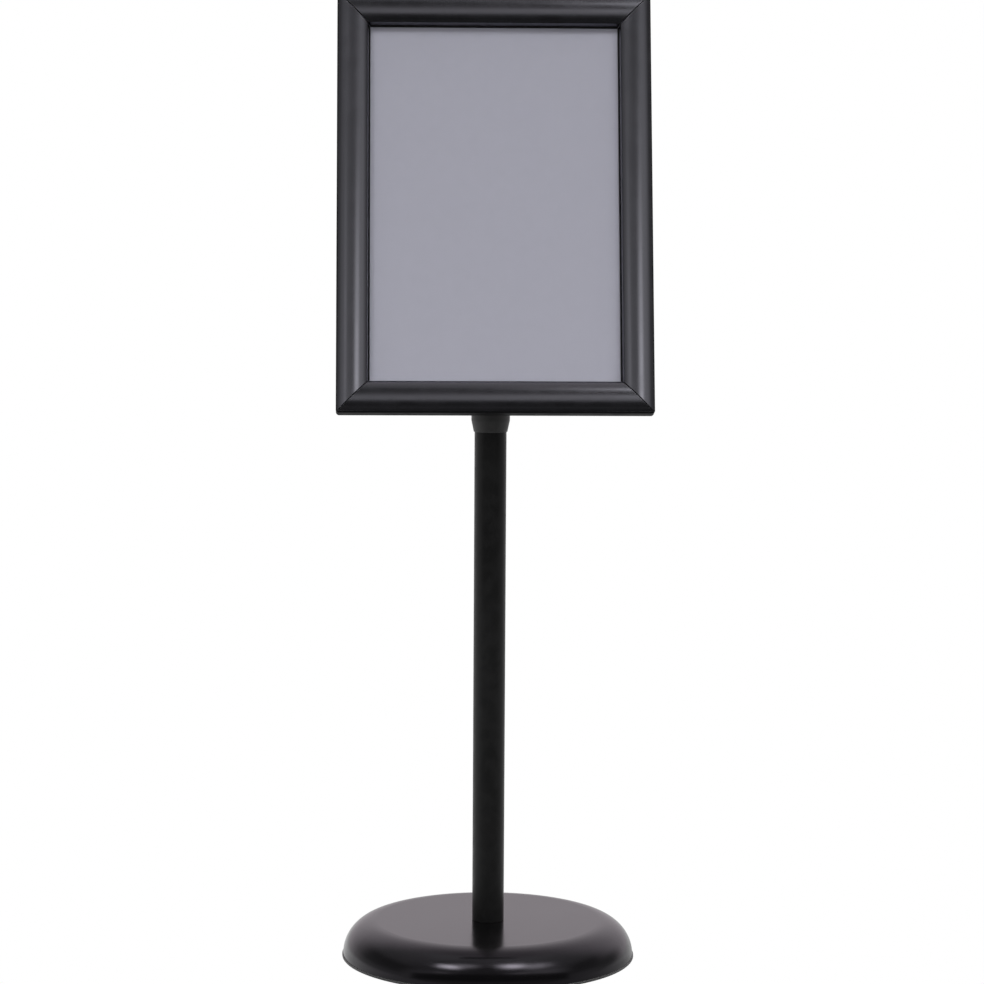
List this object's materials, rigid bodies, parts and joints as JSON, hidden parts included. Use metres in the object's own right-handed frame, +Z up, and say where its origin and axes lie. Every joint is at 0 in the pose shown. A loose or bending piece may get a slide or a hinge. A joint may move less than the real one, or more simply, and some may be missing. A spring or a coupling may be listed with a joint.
{
  "type": "poster stand",
  "caption": "Poster stand: a tilted black snap frame that turns from portrait to landscape on a pole with a weighted round base; its snap covers hinge open.",
  "frame": {"origin": "middle of the base, on the floor that the rubber feet stand on", "axes": "+Z up along the pole, the frame's face looks towards -Y and leans back, +X to the viewer's right"},
  "size_m": [0.242, 0.2346, 0.7666],
  "materials": {
    "gloss_black_steel": "gloss",
    "satin_black_steel": "satin",
    "black_anodised": "satin",
    "black_moulding": "satin",
    "ballast_stone": "matte",
    "foot_rubber": "matte",
    "zinc_steel": "satin",
    "black_steel_screws": "satin",
    "insert_brass": "satin",
    "spring_steel": "satin",
    "white_nylon": "matte",
    "panel_plastic": "matte",
    "grey_card": "matte",
    "clear_film": "satin"
  },
  "bodies": {
    "stand": {"base_shell": "gloss_black_steel", "base_ballast": "ballast_stone", "base_tray": "black_moulding", "rubber_feet": "foot_rubber", "base_bolt": "zinc_steel", "base_washer": "zinc_steel", "pole_tube": "satin_black_steel", "pole_foot_insert": "zinc_steel", "neck_elbow": "black_moulding", "neck_set_screws": "black_steel_screws", "pivot_insert": "insert_brass", "pivot_screw": "zinc_steel", "wave_washer": "spring_steel", "slide_washer": "white_nylon", "stop_pin": "zinc_steel"},
    "frame": {"turntable_plate": "satin_black_steel", "plate_screws": "zinc_steel", "back_panel": "panel_plastic", "poster_sheet": "grey_card", "clear_sheet": "clear_film", "corner_keys": "zinc_steel", "rail_bottom": "black_anodised", "rail_right": "black_anodised", "rail_top": "black_anodised", "rail_left": "black_anodised", "springs_bottom": "spring_steel", "springs_right": "spring_steel", "springs_top": "spring_steel", "springs_left": "spring_steel"},
    "cover_bottom": {"cover_bottom": "black_anodised"},
    "cover_right": {"cover_right": "black_anodised"},
    "cover_top": {"cover_top": "black_anodised"},
    "cover_left": {"cover_left": "black_anodised"}
  },
  "joints": [
    {"name": "frame_turn", "type": "hinge", "parent": "stand", "child": "frame", "pos_m": [0, -0.0605, 0.605], "axis": [0, -0.9659, 0.2588], "range_deg": [0, 90]},
    {"name": "cover_bottom_open", "type": "hinge", "parent": "frame", "child": "cover_bottom", "pos_m": [0, -0.11261, 0.45032], "axis": [1, 0, 0], "range_deg": [0, 80]},
    {"name": "cover_right_open", "type": "hinge", "parent": "frame", "child": "cover_right", "pos_m": [0.1194, -0.07045, 0.60767], "axis": [0, 0.2588, 0.9659], "range_deg": [0, 80]},
    {"name": "cover_top_open", "type": "hinge", "parent": "frame", "child": "cover_top", "pos_m": [0, -0.02829, 0.76502], "axis": [-1, 0, 0], "range_deg": [0, 80]},
    {"name": "cover_left_open", "type": "hinge", "parent": "frame", "child": "cover_left", "pos_m": [-0.1194, -0.07045, 0.60767], "axis": [0, -0.2588, -0.9659], "range_deg": [0, 80]}
  ]
}
